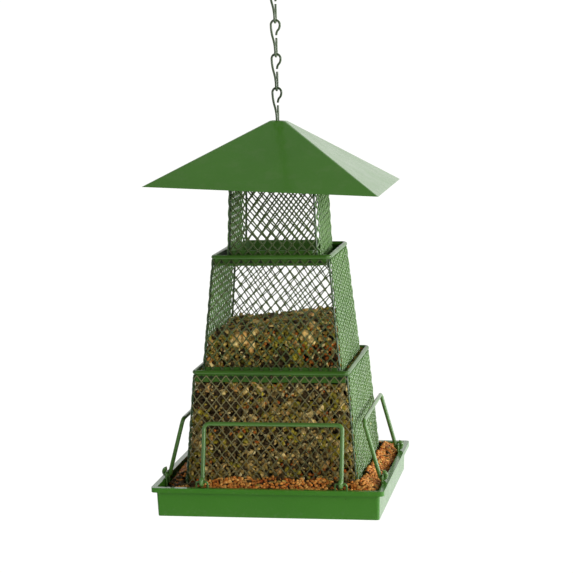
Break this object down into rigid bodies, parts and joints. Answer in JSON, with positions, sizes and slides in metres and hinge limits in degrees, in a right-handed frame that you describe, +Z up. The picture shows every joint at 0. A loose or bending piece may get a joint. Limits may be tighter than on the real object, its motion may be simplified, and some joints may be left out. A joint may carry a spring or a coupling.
{
  "type": "hanging bird feeder",
  "caption": "Hanging wire mesh bird feeder in stacked tapering tiers that telescope flat, with a pyramid roof that lifts on its chain, a square seed tray and folding wire perches.",
  "frame": {"origin": "the highest point inside the hook's open bow, where the feeder hangs from a branch stub or bracket", "axes": "+Z up along the chain; +X to the right and +Y to the back, square to the tray's sides; the hook's bow lies in the YZ plane"},
  "size_m": [0.2282, 0.2275, 0.5791],
  "materials": {
    "painted_sheet": "satin green paint on pressed steel sheet",
    "painted_mesh": "green dipped expanded steel mesh",
    "painted_wire": "satin green paint on round steel wire",
    "chain_paint": "dark green paint on thin steel wire",
    "seed_mix": "mixed dry seed and nut, dull hulls",
    "small_seed": "small round orange-brown seed"
  },
  "bodies": {
    "hook": {"hanging_hook": "chain_paint"},
    "link_5": {"chain_link_5": "chain_paint"},
    "link_4": {"chain_link_4": "chain_paint"},
    "hopper": {"chain_link_3": "chain_paint", "chain_link_2": "chain_paint", "chain_link_1": "chain_paint", "hanging_bail": "chain_paint", "upper_mesh": "painted_mesh", "upper_top_band": "painted_sheet", "upper_stop_flange": "painted_sheet"},
    "roof": {"roof": "painted_sheet"},
    "middle_tier": {"middle_mesh": "painted_mesh", "middle_collar": "painted_sheet", "middle_stop_flange": "painted_sheet", "seed_middle": "seed_mix"},
    "lower_tier": {"lower_mesh": "painted_mesh", "lower_collar": "painted_sheet", "lower_base_frame": "painted_sheet", "base_rivets": "painted_sheet", "tray": "painted_sheet", "perch_staples_front": "painted_wire", "perch_staples_right": "painted_wire", "perch_staples_back": "painted_wire", "perch_staples_left": "painted_wire", "seed_lower": "seed_mix", "seed_gutter": "seed_mix", "seed_tray": "small_seed"},
    "perch_front": {"perch_front": "painted_wire"},
    "perch_right": {"perch_right": "painted_wire"},
    "perch_back": {"perch_back": "painted_wire"},
    "perch_left": {"perch_left": "painted_wire"}
  },
  "joints": [
    {"name": "hook_swing", "type": "hinge", "parent": "hook", "child": "link_5", "pos_m": [0, 0, -0.0444], "axis": [0, 1, 0], "range_deg": [-15, 15]},
    {"name": "link_5_swing", "type": "hinge", "parent": "link_5", "child": "link_4", "pos_m": [0, 0, -0.0743], "axis": [1, 0, 0], "range_deg": [-15, 15]},
    {"name": "link_4_swing", "type": "hinge", "parent": "link_4", "child": "hopper", "pos_m": [0, 0, -0.10942], "axis": [0, 1, 0], "range_deg": [-15, 15]},
    {"name": "roof_lift", "type": "slide", "parent": "hopper", "child": "roof", "axis": [0, 0, 1], "range_m": [0, 0.09]},
    {"name": "middle_tier_lift", "type": "slide", "parent": "hopper", "child": "middle_tier", "axis": [0, 0, 1], "range_m": [0, 0.088], "deforming": ["seed_middle"]},
    {"name": "lower_tier_lift", "type": "slide", "parent": "middle_tier", "child": "lower_tier", "axis": [0, 0, 1], "range_m": [0, 0.088], "deforming": ["seed_lower"]},
    {"name": "perch_front_fold", "type": "hinge", "parent": "lower_tier", "child": "perch_front", "pos_m": [0, -0.1062, -0.54189], "axis": [1, 0, 0], "range_deg": [0, 103]},
    {"name": "perch_right_fold", "type": "hinge", "parent": "lower_tier", "child": "perch_right", "pos_m": [0.1062, 0, -0.54189], "axis": [0, 1, 0], "range_deg": [0, 103]},
    {"name": "perch_back_fold", "type": "hinge", "parent": "lower_tier", "child": "perch_back", "pos_m": [0, 0.1062, -0.54189], "axis": [-1, 0, 0], "range_deg": [0, 103]},
    {"name": "perch_left_fold", "type": "hinge", "parent": "lower_tier", "child": "perch_left", "pos_m": [-0.1062, 0, -0.54189], "axis": [0, -1, 0], "range_deg": [0, 103]}
  ]
}
